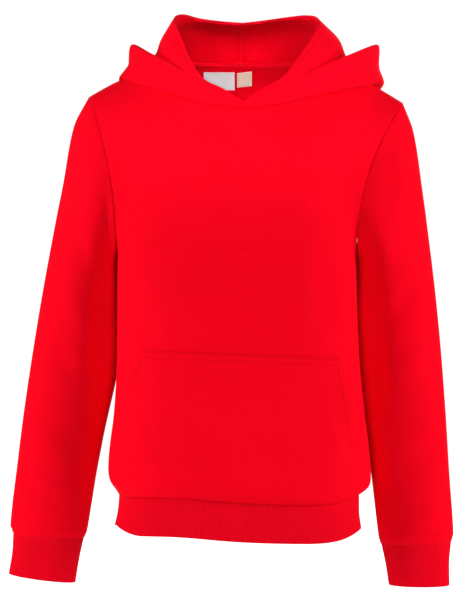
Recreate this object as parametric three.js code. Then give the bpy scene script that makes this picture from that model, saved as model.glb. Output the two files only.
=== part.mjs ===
import * as THREE from 'three';

// A child's pullover hoodie in heavy brushed sweatshirt cloth, filled out as if it were worn.
// Millimetres, +Z up, front towards -Y. The origin is the middle of the neck base.

// Cloth
const FLEECE_WALL = 2.2;
const RIB_WALL = 3.0;
const HOOD_WALL = 3.5;
const LABEL_WALL = 0.8;
const SEAM_GAP = 0.3;

// Colours
const RED = 0xe4071c;
const RIB_RED = 0xd8061a;
const LABEL_GREY = 0xe2dfe4;
const LABEL_SAND = 0xe9d3c2;

// Cutting lines: how many facets each piece has
const NECK_STEPS = 8;
const SHOULDER_STEPS = 4;
const ARMHOLE_STEPS = 11;
const TRUNK_STEP = 36;
const RING_STEPS = 2;
const FOLD_STEPS = 4;

// Body: width and depth of the trunk at each height, from the bottom seam to the armpits
const HEM_SEAM_Z = -486;
const ARMPIT_Z = -200;
const TRUNK = [
  { z: HEM_SEAM_Z, left: 149, right: 140, front: 82, back: 80 },
  { z: -477, left: 155, right: 151, front: 88, back: 87 },
  { z: -462, left: 161.5, right: 153.5, front: 92, back: 92 },
  { z: -430, left: 160, right: 151, front: 94, back: 94 },
  { z: -390, left: 155, right: 146, front: 95.5, back: 94 },
  { z: -330, left: 151.5, right: 140, front: 97.5, back: 93 },
  { z: -260, left: 151, right: 137, front: 98.5, back: 92 },
  { z: ARMPIT_Z, left: 151, right: 136, front: 97, back: 91 },
];
// How far the bottom seam and band dip across the front, from the left side seam to the right one
const HEM_SWAY = [
  { place: -1, dip: 0 },
  { place: -0.5, dip: -2 },
  { place: 0, dip: 3 },
  { place: 0.4, dip: 5.5 },
  { place: 0.7, dip: 6 },
  { place: 1, dip: 0 },
];
const HEM_SWAY_HEIGHT = 56;
const TRUNK_ROUNDNESS = 2.3;
const CHEST = { front: 92, back: 88 };
const YOKE_SLOPE = { front: { middle: 2, neck: 2.4 }, back: { middle: 1.6, neck: 1.25 } };

// Shoulders and neck
const SHOULDER_ARCH = 4.5;
const NECK_HALF_WIDTH = 95;
const NECK_DEPTH = { front: 66, back: 50 };
const NECK_SQUARENESS = { front: 3, back: 2.2 };
const NECK_SEAM = [
  { turn: 0, up: -28.5 },
  { turn: 20, up: -27 },
  { turn: 40, up: -22.5 },
  { turn: 60, up: -12 },
  { turn: 75, up: 6 },
  { turn: 90, up: 27 },
  { turn: 115, up: 31 },
  { turn: 140, up: 32.5 },
  { turn: 180, up: 33 },
];

// Sleeves: a row for each ring down the arm, the first one being the armhole.
// out and top place its outer side, into and low its inner side, mid its middle towards the back.
const SLEEVES = {
  left: [
    { down: 0, out: 184, top: -10, into: 151, low: ARMPIT_Z, depth: 54, mid: 0 },
    { down: 35, out: 203, top: -46, into: 152.2, low: -211, depth: 57, mid: 3 },
    { down: 85, out: 215.5, top: -108, into: 151.4, low: -233, depth: 58, mid: 14 },
    { down: 140, out: 228, top: -168, into: 150, low: -264, depth: 56, mid: 23 },
    { down: 210, out: 242, top: -242, into: 149.2, low: -304, depth: 52, mid: 27 },
    { down: 280, out: 254, top: -315, into: 153, low: -348, depth: 47, mid: 25 },
    { down: 350, out: 264.5, top: -390, into: 165, low: -403, depth: 42, mid: 17 },
    { down: 420, out: 272.5, top: -460, into: 177, low: -467, depth: 37, mid: 8 },
    { down: 480, out: 279, top: -521, into: 186.5, low: -528, depth: 33.5, mid: 1 },
    { down: 492, out: 276.5, top: -532, into: 190, low: -538.4, depth: 31, mid: 0 },
  ],
  right: [
    { down: 0, out: 191, top: -17, into: 136, low: ARMPIT_Z, depth: 54, mid: 0 },
    { down: 35, out: 204.5, top: -52, into: 137.6, low: -211, depth: 57, mid: 2 },
    { down: 85, out: 214.5, top: -110, into: 137, low: -235, depth: 58, mid: 12 },
    { down: 140, out: 223.5, top: -170, into: 135.4, low: -268, depth: 56, mid: 23 },
    { down: 210, out: 233, top: -243, into: 137.2, low: -308, depth: 52, mid: 30 },
    { down: 280, out: 240.5, top: -318, into: 142, low: -351, depth: 47, mid: 32 },
    { down: 350, out: 246, top: -395, into: 148, low: -408, depth: 42, mid: 29 },
    { down: 420, out: 249.5, top: -466, into: 156, low: -472, depth: 38, mid: 20 },
    { down: 480, out: 253.5, top: -531, into: 163, low: -536, depth: 34.5, mid: 12 },
    { down: 492, out: 252, top: -542.5, into: 165.5, low: -546.6, depth: 32, mid: 11 },
  ],
};
// How far the armhole seam bows in over the chest and the back, and how far down the arm it fades out
const ARMHOLE_BOW = { left: { front: 11, back: 6 }, right: { front: 18, back: 9 } };
const BOW_LENGTH = 85;
const CUFFS = {
  left: [
    { down: 0, out: 275.6, top: -532.4, into: 190.9, low: -538.8, depth: 30, mid: 0 },
    { down: 26, out: 276.8, top: -557, into: 196.5, low: -565, depth: 28.5, mid: -2 },
    { down: 52, out: 280.8, top: -581.5, into: 200.8, low: -592, depth: 27.5, mid: -4 },
  ],
  right: [
    { down: 0, out: 251, top: -542.9, into: 166.5, low: -547, depth: 31, mid: 11 },
    { down: 26, out: 248.2, top: -568, into: 171.5, low: -571, depth: 29, mid: 8 },
    { down: 52, out: 248.2, top: -596.5, into: 175.2, low: -596, depth: 28, mid: 5 },
  ],
};

// Bottom band: a tube of rib
const HEM = [
  { z: -533, left: 154, right: 142, front: 86, back: 83 },
  { z: -512, left: 150.5, right: 139.5, front: 85, back: 82 },
  { z: HEM_SEAM_Z - SEAM_GAP, left: 148.4, right: 139.2, front: 81.5, back: 79.5 },
];
const HEM_ROWS = 4;

// Kangaroo pocket: a row for each corner height, its two sides measured from the middle of the front
const POCKET = [
  { z: HEM_SEAM_Z, left: 138, right: 129 },
  { z: -462, left: 146, right: 135 },
  { z: -430, left: 147, right: 131 },
  { z: -381, left: 142, right: 122.5 },
  { z: -344, left: 128, right: 115.5 },
  { z: -313, left: 117.5, right: 111 },
];
const POCKET_DROP = 9;
const POCKET_SEAM_RISE = 0.5;
const POCKET_COLUMNS = 22;
const POCKET_CROWDING = 0.6;
const POCKET_STAND = 1.7;
const POCKET_SLACK = 1.6;

// Hood: a row for each section turned about the neck, from the throat round to the back.
// Each fold line is [out from the neck axis, up], in order from the neck seam to the face opening.
// Near the throat the folds die out, and a row has only the opening's edge and how far it bulges.
const HOOD = {
  left: [
    { turn: 0, edge: [70, -23], bulge: 0 },
    { turn: 20, edge: [71, -6], bulge: 3 },
    { turn: 40, edge: [72, 6], bulge: 6 },
    { turn: 60, under: [99, -11], low: [105, -8], face: [100, 7], wing: [92, 20],
      crease: [86, 19], roll: [82, 26], edge: [72, 31] },
    { turn: 80, under: [116, 18], low: [139, 6.5], face: [131, 24], wing: [120, 43],
      crease: [100, 33], roll: [95, 47], edge: [75, 60] },
    { turn: 95, under: [121, 25], low: [150, 12.2], face: [138, 30], wing: [134, 54],
      crease: [108, 36], roll: [99, 58], edge: [84, 83] },
    { turn: 115, under: [104, 26], low: [150, -14], face: [151, 16], wing: [146, 43],
      crease: [120, 44], roll: [105, 66], edge: [81, 93] },
    { turn: 140, under: [86, 18], low: [136, -92], face: [156, -50], wing: [160, -8],
      crease: [143, 42], roll: [112, 78], edge: [80, 91] },
    { turn: 180, under: [70, 14], low: [114, -126], face: [142, -100], wing: [151, -50],
      crease: [144, 12], roll: [118, 72], edge: [80, 88] },
  ],
  right: [
    { turn: 0, edge: [70, -23], bulge: 0 },
    { turn: 20, edge: [71, -5], bulge: 3 },
    { turn: 40, edge: [71, 8], bulge: 6 },
    { turn: 60, under: [100, -12], low: [110, -10], face: [106, 4], wing: [100, 17],
      crease: [91, 17], roll: [85, 26], edge: [73, 31] },
    { turn: 80, under: [124, 16], low: [157, 2], face: [149, 20], wing: [139, 41],
      crease: [117, 31], roll: [107, 46], edge: [82, 57] },
    { turn: 95, under: [127, 24], low: [170, 6], face: [165, 27], wing: [164, 54],
      crease: [130, 34], roll: [116, 60], edge: [92, 81] },
    { turn: 115, under: [104, 26], low: [164, -20], face: [168, 12], wing: [162, 40],
      crease: [131, 44], roll: [115, 67], edge: [90, 92] },
    { turn: 140, under: [86, 18], low: [140, -96], face: [160, -54], wing: [166, -12],
      crease: [148, 42], roll: [116, 79], edge: [84, 93] },
    { turn: 180, under: [70, 14], low: [114, -126], face: [142, -100], wing: [151, -50],
      crease: [144, 12], roll: [118, 72], edge: [80, 88] },
  ],
};
const FOLDS = ['under', 'low', 'face', 'wing', 'crease', 'roll', 'edge'];

// Labels: sewn to the inside of the back, under the neck seam
const NECK_LABEL = { from: -48, to: -10, top: 26, drop: 21, tilt: 0 };
const SIZE_LABEL = { from: -7, to: 11, top: 26, drop: 17, tilt: 1 };
const LABEL_COLUMNS = 4;
const LABEL_STAND = 0.5;

const SIDE = { left: -1, right: 1 };
const { lerp, degToRad, clamp } = THREE.MathUtils;

// Reads one column of a table at any place along its key, on a smooth curve through the rows.
function readTable(rows, key, column, at) {
  const slope = (i) => {
    const before = rows[Math.max(i - 1, 0)];
    const after = rows[Math.min(i + 1, rows.length - 1)];
    return (after[column] - before[column]) / (after[key] - before[key]);
  };
  let i = 0;
  while (i < rows.length - 2 && at > rows[i + 1][key]) i += 1;
  const span = rows[i + 1][key] - rows[i][key];
  const t = clamp((at - rows[i][key]) / span, 0, 1);
  const rest = 1 - t;
  return rows[i][column] * (1 + 2 * t) * rest * rest
    + rows[i + 1][column] * (3 - 2 * t) * t * t
    + slope(i) * span * t * rest * rest
    - slope(i + 1) * span * t * t * rest;
}

// The heights of a table's rows, with more between them where they lie far apart.
function levelsOf(rows, key, step) {
  const levels = [];
  for (let i = 0; i < rows.length - 1; i += 1) {
    const parts = Math.ceil((rows[i + 1][key] - rows[i][key]) / step);
    for (let k = 0; k < parts; k += 1) levels.push(lerp(rows[i][key], rows[i + 1][key], k / parts));
  }
  return [...levels, rows.at(-1)[key]];
}

const TRUNK_LEVELS = levelsOf(TRUNK, 'z', TRUNK_STEP);
const SIDE_STEPS = TRUNK_LEVELS.length - 1;

function readRow(rows, key, at) {
  const row = {};
  for (const column of Object.keys(rows[0])) {
    row[column] = column === key ? at : readTable(rows, key, column, at);
  }
  return row;
}

// Makes the closed body of a piece of cloth: its outer face, the same face moved in by the wall,
// and the cut edges between them. facing is 1 where column by row points out of the garment.
function clothBody(grid, wall, { facing = 1, ring = false, limit = null } = {}) {
  const rows = grid.length;
  const columns = grid[0].length;
  const last = columns - 1;
  const outward = (r, c) => {
    const left = ring ? (c + last) % columns : Math.max(c - 1, 0);
    const right = ring ? (c + 1) % columns : Math.min(c + 1, last);
    const across = grid[r][right].clone().sub(grid[r][left]);
    const along = grid[Math.min(r + 1, rows - 1)][c].clone().sub(grid[Math.max(r - 1, 0)][c]);
    return across.cross(along).normalize().multiplyScalar(facing);
  };
  const points = grid.flat();
  for (let r = 0; r < rows; r += 1) {
    for (let c = 0; c < columns; c += 1) {
      const inward = outward(r, c).negate();
      if (limit) limit(inward, r, c);
      points.push(grid[r][c].clone().addScaledVector(inward.normalize(), wall));
    }
  }
  const inner = rows * columns;
  const at = (r, c) => r * columns + (ring ? c % columns : c);
  const faces = [];
  const quad = (a, b, c, d) => faces.push(a, b, c, a, c, d);
  const spans = ring ? columns : last;
  for (let c = 0; c < spans; c += 1) {
    for (let r = 0; r < rows - 1; r += 1) {
      quad(at(r, c), at(r, c + 1), at(r + 1, c + 1), at(r + 1, c));
      quad(inner + at(r, c), inner + at(r + 1, c), inner + at(r + 1, c + 1), inner + at(r, c + 1));
    }
    quad(at(0, c + 1), at(0, c), inner + at(0, c), inner + at(0, c + 1));
    quad(at(rows - 1, c), at(rows - 1, c + 1), inner + at(rows - 1, c + 1), inner + at(rows - 1, c));
  }
  for (let r = 0; r < rows - 1 && !ring; r += 1) {
    quad(at(r, 0), at(r + 1, 0), inner + at(r + 1, 0), inner + at(r, 0));
    quad(at(r + 1, last), at(r, last), inner + at(r, last), inner + at(r + 1, last));
  }
  if (facing < 0) faces.reverse();
  const geometry = new THREE.BufferGeometry().setFromPoints(points);
  geometry.setIndex(faces);
  geometry.computeVertexNormals();
  return geometry;
}

// A trunk section is a rounded oval. place runs from -1 at the left seam to 1 at the right one.
function ovalDepth(place, reach) {
  return reach * (1 - Math.min(Math.abs(place), 1) ** TRUNK_ROUNDNESS) ** (1 / TRUNK_ROUNDNESS);
}

function ringPoint(side, row, angle, bow = { front: 0, back: 0 }) {
  const lift = (1 - Math.cos(angle)) / 2;
  const swing = Math.sin(angle);
  const fade = Math.max(0, 1 - row.down / BOW_LENGTH) ** 2;
  const bowed = (swing > 0 ? bow.front : bow.back) * swing ** 2 * fade;
  const out = lerp(row.into, row.out, lift) - bowed;
  return new THREE.Vector3(side * out, row.mid - row.depth * swing, lerp(row.low, row.top, lift));
}

function neckSeam(turn) {
  const angle = degToRad(turn);
  const half = turn < 90 ? 'front' : 'back';
  const power = NECK_SQUARENESS[half];
  const wide = (Math.sin(angle) / NECK_HALF_WIDTH) ** power;
  const deep = Math.abs(Math.cos(angle) / NECK_DEPTH[half]) ** power;
  return { out: (wide + deep) ** (-1 / power), up: readTable(NECK_SEAM, 'turn', 'up', turn) };
}

function turned(side, turn, out, up) {
  const angle = degToRad(turn);
  return new THREE.Vector3(side * out * Math.sin(angle), -out * Math.cos(angle), up);
}

// Places across the trunk lie closer together towards the side seams, where it turns round.
const PANEL_COLUMNS = 2 * SHOULDER_STEPS + 2 * NECK_STEPS;

function columnPlace(column) {
  return -Math.cos((Math.PI * column) / PANEL_COLUMNS);
}

// The upper edge of a panel: the shoulder seam, the neckline and the other shoulder seam.
function panelTop(face, column) {
  const middle = PANEL_COLUMNS / 2;
  const side = column < middle ? -1 : 1;
  const armhole = SLEEVES[side < 0 ? 'left' : 'right'][0];
  const steps = Math.abs(column - middle);
  if (steps > NECK_STEPS) {
    const t = (steps - NECK_STEPS) / SHOULDER_STEPS;
    const up = lerp(neckSeam(90).up, armhole.top, t) + 4 * SHOULDER_ARCH * t * (1 - t);
    return new THREE.Vector3(side * lerp(NECK_HALF_WIDTH, armhole.out, t), 0, up);
  }
  const quarter = (90 * steps) / NECK_STEPS;
  const turn = face < 0 ? quarter : 180 - quarter;
  const seam = neckSeam(turn);
  return turned(side, turn, seam.out, seam.up);
}

function hemDip(face, place) {
  return face < 0 ? readTable(HEM_SWAY, 'place', 'dip', place) : 0;
}

function trunkPoint(face, place, z) {
  const row = readRow(TRUNK, 'z', z);
  const depth = ovalDepth(place, face < 0 ? row.front : row.back);
  const fade = Math.max(0, 1 - (z - HEM_SEAM_Z) / HEM_SWAY_HEIGHT);
  const x = lerp(-row.left, row.right, (place + 1) / 2);
  return new THREE.Vector3(x, face * (depth + SEAM_GAP / 2), z - hemDip(face, place) * fade);
}

// Above the armpits the oval gives way to the armhole's edge, and closes in to the shoulder and neck.
function yokePoint(face, column, rise) {
  const half = face < 0 ? 'front' : 'back';
  const angle = Math.PI * rise;
  const swing = Math.sin(angle);
  const lift = (1 - Math.cos(angle)) / 2;
  const around = face < 0 ? angle : 2 * Math.PI - angle;
  const leftEdge = ringPoint(-1, SLEEVES.left[0], around, ARMHOLE_BOW.left);
  const rightEdge = ringPoint(1, SLEEVES.right[0], around, ARMHOLE_BOW.right);
  const shoulders = SLEEVES.left[0].out + SLEEVES.right[0].out;
  const top = panelTop(face, column);
  const topPlace = (2 * (top.x + SLEEVES.left[0].out)) / shoulders - 1;
  const place = lerp(columnPlace(column), topPlace, rise ** 2);
  const low = Math.min(2 * lift, 1);
  const oval = ovalDepth(place, lerp(TRUNK.at(-1)[half], CHEST[half], low));
  const edge = SLEEVES.left[0].depth * (lift < 0.5 ? swing : 1) * Math.abs(place) ** lerp(8, 3, low);
  let depth = Math.hypot(oval, edge);
  if (lift > 0.5) {
    const { middle, neck } = YOKE_SLOPE[half];
    const past = (Math.abs(top.x) - NECK_HALF_WIDTH) / (shoulders / 2 - NECK_HALF_WIDTH);
    const slope = past > 0 ? lerp(neck, 1, Math.min(past, 1)) : lerp(neck, middle, Math.min(-past, 1));
    depth = lerp(Math.abs(top.y), depth, swing ** slope);
  }
  const x = lerp(leftEdge.x, rightEdge.x, (place + 1) / 2);
  return new THREE.Vector3(x, face * (depth + SEAM_GAP / 2), lerp(ARMPIT_Z, top.z, lift));
}

function panelPoint(face, column, row) {
  if (row > SIDE_STEPS) return yokePoint(face, column, (row - SIDE_STEPS) / ARMHOLE_STEPS);
  return trunkPoint(face, columnPlace(column), TRUNK_LEVELS[row]);
}

function panelGrid(face) {
  const grid = [];
  for (let row = 0; row <= SIDE_STEPS + ARMHOLE_STEPS; row += 1) {
    const line = [];
    for (let column = 0; column <= PANEL_COLUMNS; column += 1) line.push(panelPoint(face, column, row));
    grid.push(line);
  }
  return grid;
}

// Keeps a cut edge on its own side of an armhole seam.
function keepTo(side, inward) {
  if (side * inward.x < 0) inward.x = 0;
}

// A panel's cut edges stay in line with the piece they are sewn to.
function panelBody(face) {
  const lastRow = SIDE_STEPS + ARMHOLE_STEPS;
  const limit = (inward, row, column) => {
    const steps = Math.abs(column - PANEL_COLUMNS / 2);
    const sideEdge = steps === PANEL_COLUMNS / 2;
    const edgeSide = column === 0 ? -1 : 1;
    if (row === 0) inward.z = 0;
    if (sideEdge && row <= SIDE_STEPS) inward.y = 0;
    if (sideEdge && row > SIDE_STEPS) keepTo(-edgeSide, inward);
    if (row === lastRow && steps >= NECK_STEPS) inward.y = 0;
    if (row === lastRow) inward.z = Math.min(inward.z, 0);
  };
  return clothBody(panelGrid(face), FLEECE_WALL, { facing: -face, limit });
}

function tubeGrid(side, rows, bow) {
  const rings = [];
  for (let i = 0; i < rows.length - 1; i += 1) {
    for (let step = 0; step < RING_STEPS; step += 1) {
      rings.push(readRow(rows, 'down', lerp(rows[i].down, rows[i + 1].down, step / RING_STEPS)));
    }
  }
  rings.push(rows.at(-1));
  const angles = Array.from({ length: 2 * ARMHOLE_STEPS }, (_, k) => (Math.PI * k) / ARMHOLE_STEPS);
  return rings.map((row) => angles.map((angle) => ringPoint(side, row, angle, bow)));
}

// The direction in which an open end is cut square.
function flatEnd(ring) {
  const quarter = ring.length / 4;
  const across = ring[0].clone().sub(ring[Math.round(2 * quarter)]);
  const along = ring[Math.floor(quarter)].clone().sub(ring[Math.ceil(3 * quarter)]);
  return across.cross(along).normalize();
}

function sleeveBody(name) {
  const side = SIDE[name];
  const grid = tubeGrid(side, SLEEVES[name], ARMHOLE_BOW[name]);
  for (const point of grid[0]) point.x += side * SEAM_GAP;
  const cut = flatEnd(grid.at(-1));
  const limit = (inward, row) => {
    if (row === 0) keepTo(side, inward);
    if (row === grid.length - 1) inward.projectOnPlane(cut);
  };
  return clothBody(grid, FLEECE_WALL, { facing: -side, ring: true, limit });
}

function cuffBody(name) {
  const grid = tubeGrid(SIDE[name], CUFFS[name]);
  const limit = (inward, row) => {
    if (row === 0) inward.projectOnPlane(flatEnd(grid[0]));
    if (row === grid.length - 1) inward.projectOnPlane(flatEnd(grid.at(-1)));
  };
  return clothBody(grid, RIB_WALL, { facing: -SIDE[name], ring: true, limit });
}

function hemBody() {
  const grid = [];
  for (let step = 0; step <= HEM_ROWS; step += 1) {
    const row = readRow(HEM, 'z', lerp(HEM[0].z, HEM.at(-1).z, step / HEM_ROWS));
    const line = [];
    for (let k = 0; k < 2 * PANEL_COLUMNS; k += 1) {
      const front = k < PANEL_COLUMNS;
      const place = columnPlace(front ? k : 2 * PANEL_COLUMNS - k);
      const depth = ovalDepth(place, front ? -row.front : row.back);
      const height = row.z - hemDip(front ? -1 : 1, place);
      line.push(new THREE.Vector3(lerp(-row.left, row.right, (place + 1) / 2), depth, height));
    }
    grid.push(line);
  }
  const limit = (inward, row) => {
    if (row === 0 || row === HEM_ROWS) inward.z = 0;
  };
  return clothBody(grid, RIB_WALL, { ring: true, limit });
}

// The point of a row of points at a given x.
function across(line, x) {
  const k = facetAt(line, x);
  return line[k].clone().lerp(line[k + 1], (x - line[k].x) / (line[k + 1].x - line[k].x));
}

function facetAt(line, x) {
  let k = 0;
  while (k < line.length - 2 && line[k + 1].x < x) k += 1;
  return k;
}

// Finds the place on a panel's facets at a given x and z, and the way out of the cloth there.
function onPanel(grid, face, x, z) {
  let r = grid.length - 2;
  while (r > 0 && across(grid[r], x).z > z) r -= 1;
  const low = across(grid[r], x);
  const high = across(grid[r + 1], x);
  const k = facetAt(grid[r], x);
  const level = grid[r][k + 1].clone().sub(grid[r][k]);
  const place = low.clone().lerp(high, (z - low.z) / (high.z - low.z));
  const out = level.cross(high.sub(low)).normalize().multiplyScalar(-face);
  return { place, out };
}

function pocketBody() {
  const panel = panelGrid(-1);
  const lowest = POCKET[0].z;
  const highest = POCKET.at(-1).z;
  const levels = [...TRUNK_LEVELS.filter((level) => level < highest), highest];
  const outs = [];
  const grid = levels.map((level, row) => {
    const sides = readRow(POCKET, 'z', level);
    const climb = (level - lowest) / (highest - lowest);
    const line = [];
    outs.push([]);
    for (let c = 0; c <= POCKET_COLUMNS; c += 1) {
      const even = c / POCKET_COLUMNS;
      const share = lerp(even, (1 - Math.cos(Math.PI * even)) / 2, POCKET_CROWDING);
      const x = lerp(-sides.left, sides.right, share);
      const slack = POCKET_SLACK * Math.sin(Math.PI * share) * Math.sin(Math.PI * climb);
      const sway = across(panel[row], x).z - TRUNK_LEVELS[row];
      const rise = row === 0 ? POCKET_SEAM_RISE : -POCKET_DROP * share * climb;
      const { place, out } = onPanel(panel, -1, x, level + sway + rise);
      line.push(place.addScaledVector(out, POCKET_STAND + slack + FLEECE_WALL));
      outs[row].push(out);
    }
    return line;
  });
  const limit = (inward, row, column) => inward.copy(outs[row][column]).negate();
  return clothBody(grid, FLEECE_WALL, { limit });
}

// Spreads a row's fold lines evenly over a plain band where the table names only its edge.
function hoodRow(row) {
  const seam = neckSeam(row.turn);
  const flat = { turn: row.turn };
  FOLDS.forEach((fold, i) => {
    const t = (i + 1) / FOLDS.length;
    const bulge = (row.bulge || 0) * Math.sin(Math.PI * t);
    const [out, up] = row[fold] || [lerp(seam.out, row.edge[0], t) + bulge, lerp(seam.up, row.edge[1], t)];
    flat[`${fold}Out`] = out;
    flat[`${fold}Up`] = up;
  });
  return flat;
}

function hoodBody(name) {
  const side = SIDE[name];
  const rows = HOOD[name].map(hoodRow);
  const columns = 2 * NECK_STEPS;
  const lines = FOLDS.length * FOLD_STEPS;
  const grid = Array.from({ length: lines + 1 }, () => []);
  for (let c = 0; c <= columns; c += 1) {
    const turn = (180 * c) / columns;
    const seam = neckSeam(turn);
    const at = readRow(rows, 'turn', turn);
    const section = [new THREE.Vector3(seam.out, seam.up + SEAM_GAP, 0)];
    for (const fold of FOLDS) section.push(new THREE.Vector3(at[`${fold}Out`], at[`${fold}Up`], 0));
    const curve = new THREE.CatmullRomCurve3(section, false, 'centripetal');
    for (let r = 0; r <= lines; r += 1) {
      const point = curve.getPoint(r / lines);
      const place = turned(side, turn, point.x, point.y);
      if (c === 0 || c === columns) place.x = (side * SEAM_GAP) / 2;
      grid[r].push(place);
    }
  }
  const limit = (inward, row, column) => {
    if (column === 0 || column === columns) inward.x = 0;
    if (row === 0) inward.z = Math.max(inward.z, 0);
  };
  return clothBody(grid, HOOD_WALL, { facing: side, limit });
}

// A label lies on the inner face of the back, under the neck seam.
function labelBody({ from, to, top, drop, tilt }) {
  const panel = panelGrid(1);
  const rows = [top - drop, top - drop / 2, top].map((level) => {
    const line = [];
    for (let c = 0; c <= LABEL_COLUMNS; c += 1) {
      const share = c / LABEL_COLUMNS;
      const { place, out } = onPanel(panel, 1, lerp(from, to, share), level + lerp(-tilt, tilt, share));
      line.push(place.addScaledVector(out, -(FLEECE_WALL + LABEL_STAND + LABEL_WALL)));
    }
    return line;
  });
  return clothBody(rows, LABEL_WALL);
}

const fleece = new THREE.MeshStandardMaterial({ color: RED, roughness: 0.9, metalness: 0 });
const rib = new THREE.MeshStandardMaterial({ color: RIB_RED, roughness: 0.95, metalness: 0 });
const paleTape = new THREE.MeshStandardMaterial({ color: LABEL_GREY, roughness: 0.7, metalness: 0 });
const sandTape = new THREE.MeshStandardMaterial({ color: LABEL_SAND, roughness: 0.7, metalness: 0 });

const hoodie = new THREE.Group();

function addPiece(name, geometry, material) {
  const piece = new THREE.Mesh(geometry, material);
  piece.name = name;
  hoodie.add(piece);
}

addPiece('front', panelBody(-1), fleece);
addPiece('back', panelBody(1), fleece);
addPiece('sleeve_left', sleeveBody('left'), fleece);
addPiece('sleeve_right', sleeveBody('right'), fleece);
addPiece('cuff_left', cuffBody('left'), rib);
addPiece('cuff_right', cuffBody('right'), rib);
addPiece('hem_band', hemBody(), rib);
addPiece('pocket', pocketBody(), fleece);
addPiece('hood_left', hoodBody('left'), fleece);
addPiece('hood_right', hoodBody('right'), fleece);
addPiece('neck_label', labelBody(NECK_LABEL), paleTape);
addPiece('size_label', labelBody(SIZE_LABEL), sandTape);

export default hoodie;
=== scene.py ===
import math

import bmesh
import bpy
import numpy as np
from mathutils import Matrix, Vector
from mathutils.bvhtree import BVHTree
from mathutils.kdtree import KDTree


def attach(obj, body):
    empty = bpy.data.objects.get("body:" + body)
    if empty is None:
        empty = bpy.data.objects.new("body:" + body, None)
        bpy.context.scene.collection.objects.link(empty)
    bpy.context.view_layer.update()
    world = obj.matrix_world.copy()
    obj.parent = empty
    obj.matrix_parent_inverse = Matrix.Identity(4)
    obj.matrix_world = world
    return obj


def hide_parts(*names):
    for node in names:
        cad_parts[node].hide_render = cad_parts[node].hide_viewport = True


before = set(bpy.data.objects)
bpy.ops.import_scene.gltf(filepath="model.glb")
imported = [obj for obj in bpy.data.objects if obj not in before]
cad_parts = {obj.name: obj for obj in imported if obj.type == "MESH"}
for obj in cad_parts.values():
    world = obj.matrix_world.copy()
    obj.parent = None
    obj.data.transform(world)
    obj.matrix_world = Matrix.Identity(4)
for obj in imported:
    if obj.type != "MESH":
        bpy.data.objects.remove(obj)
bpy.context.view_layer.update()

# The viewpoint: straight in front of the chest and level with it.
# It stands 2.8 m off with a long lens, so the sleeves and the body keep their real proportions.
viewpoint = bpy.data.objects.new("viewpoint", bpy.data.cameras.new("viewpoint"))
viewpoint.data.angle = 2 * math.atan(0.36 / 2.8)
viewpoint.location = (-0.012, -2.8, -0.254)
viewpoint.rotation_euler = (math.pi / 2, 0, 0)
bpy.context.scene.collection.objects.link(viewpoint)
bpy.context.scene.camera = viewpoint

# Front panel: one piece of heavy sweatshirt fleece, smooth outside and brushed inside, cut on the fold.
# It is overlocked to the back at the sides and shoulders, and topstitched in one row under the neck seam.
MM = 0.001
FLEECE_WALL = 2.2
CUT_EDGE_ROUNDING = 0.45
CORNER_TURN = 35
WALL_PLAY = 0.004
SMOOTHING_ROUNDS = 4
CREASE_STEPS = 16
CREASE_HOLD = 9
STITCH_PITCH = 3.3
STITCH_LENGTH = 2.5
STITCH_RINGS = ((-1, 0.55, -0.5), (-0.55, 1, 0.55), (0.55, 1, 0.55), (1, 0.55, -0.5))
THREAD_RADIUS = 0.24
THREAD_SIDES = 4
NECK_TOPSTITCH = 6
ROW_ENDS = (0.01, 0.99)
SEAM_GAP = 0.3
SEAM_THREAD_SHARE = 0.36
SEAM_THREAD_SIDES = 6

FRONT_CREASES = [
    # long soft falls of the body, low on both sides
    {"line": [(-128, -60, -300), (-134, -58, -390), (-140, -52, -470)], "width": 13, "height": 0.5},
    {"line": [(-104, -80, -250), (-112, -78, -330)], "width": 15, "height": -1.9},
    {"line": [(118, -68, -290), (124, -66, -380), (128, -60, -462)], "width": 12, "height": 0.5},
    {"line": [(96, -84, -180), (108, -80, -290)], "width": 16, "height": -2.2},
    {"line": [(-40, -98, -190), (-46, -98, -300)], "width": 20, "height": 1.6},
    {"line": [(44, -98, -200), (58, -96, -310)], "width": 22, "height": -1.8},
    # drag lines from the armholes over the chest
    {"line": [(-142, -40, -150), (-118, -72, -120), (-92, -84, -104)], "width": 11, "height": 2.0},
    {"line": [(-140, -44, -182), (-112, -76, -160), (-80, -90, -150)], "width": 12, "height": -2.0},
    {"line": [(130, -42, -128), (112, -70, -104), (90, -80, -92)], "width": 10, "height": 2.3},
    {"line": [(132, -44, -165), (106, -74, -150), (76, -88, -150)], "width": 12, "height": -2.3},
    # slack under the throat
    {"line": [(-70, -86, -60), (-20, -92, -78), (40, -92, -74)], "width": 14, "height": 1.6},
    {"line": [(-40, -94, -104), (10, -96, -112), (64, -92, -100)], "width": 16, "height": -1.5},
    # small gathers where the bottom band draws the body in
    {"line": [(-112, -66, -484), (-110, -72, -458)], "width": 6, "height": 1.0, "hold": 3},
    {"line": [(-78, -78, -484), (-80, -84, -462)], "width": 5, "height": -0.9, "hold": 3},
    {"line": [(66, -80, -490), (68, -86, -464)], "width": 6, "height": -0.9, "hold": 3},
    {"line": [(104, -68, -490), (102, -74, -460)], "width": 6, "height": 1.1, "hold": 3},
]


def crease_points(line, skin):
    """A crease's points every few millimetres, laid on the cloth."""
    corners = [Vector(p) * MM for p in line]
    points = []
    for step in range(CREASE_STEPS + 1):
        t = step / CREASE_STEPS * (len(corners) - 1)
        k = min(int(t), len(corners) - 2)
        p = corners[k].lerp(corners[k + 1], t - k)
        points.append(skin.find_nearest(p)[0])
    return points


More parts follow.
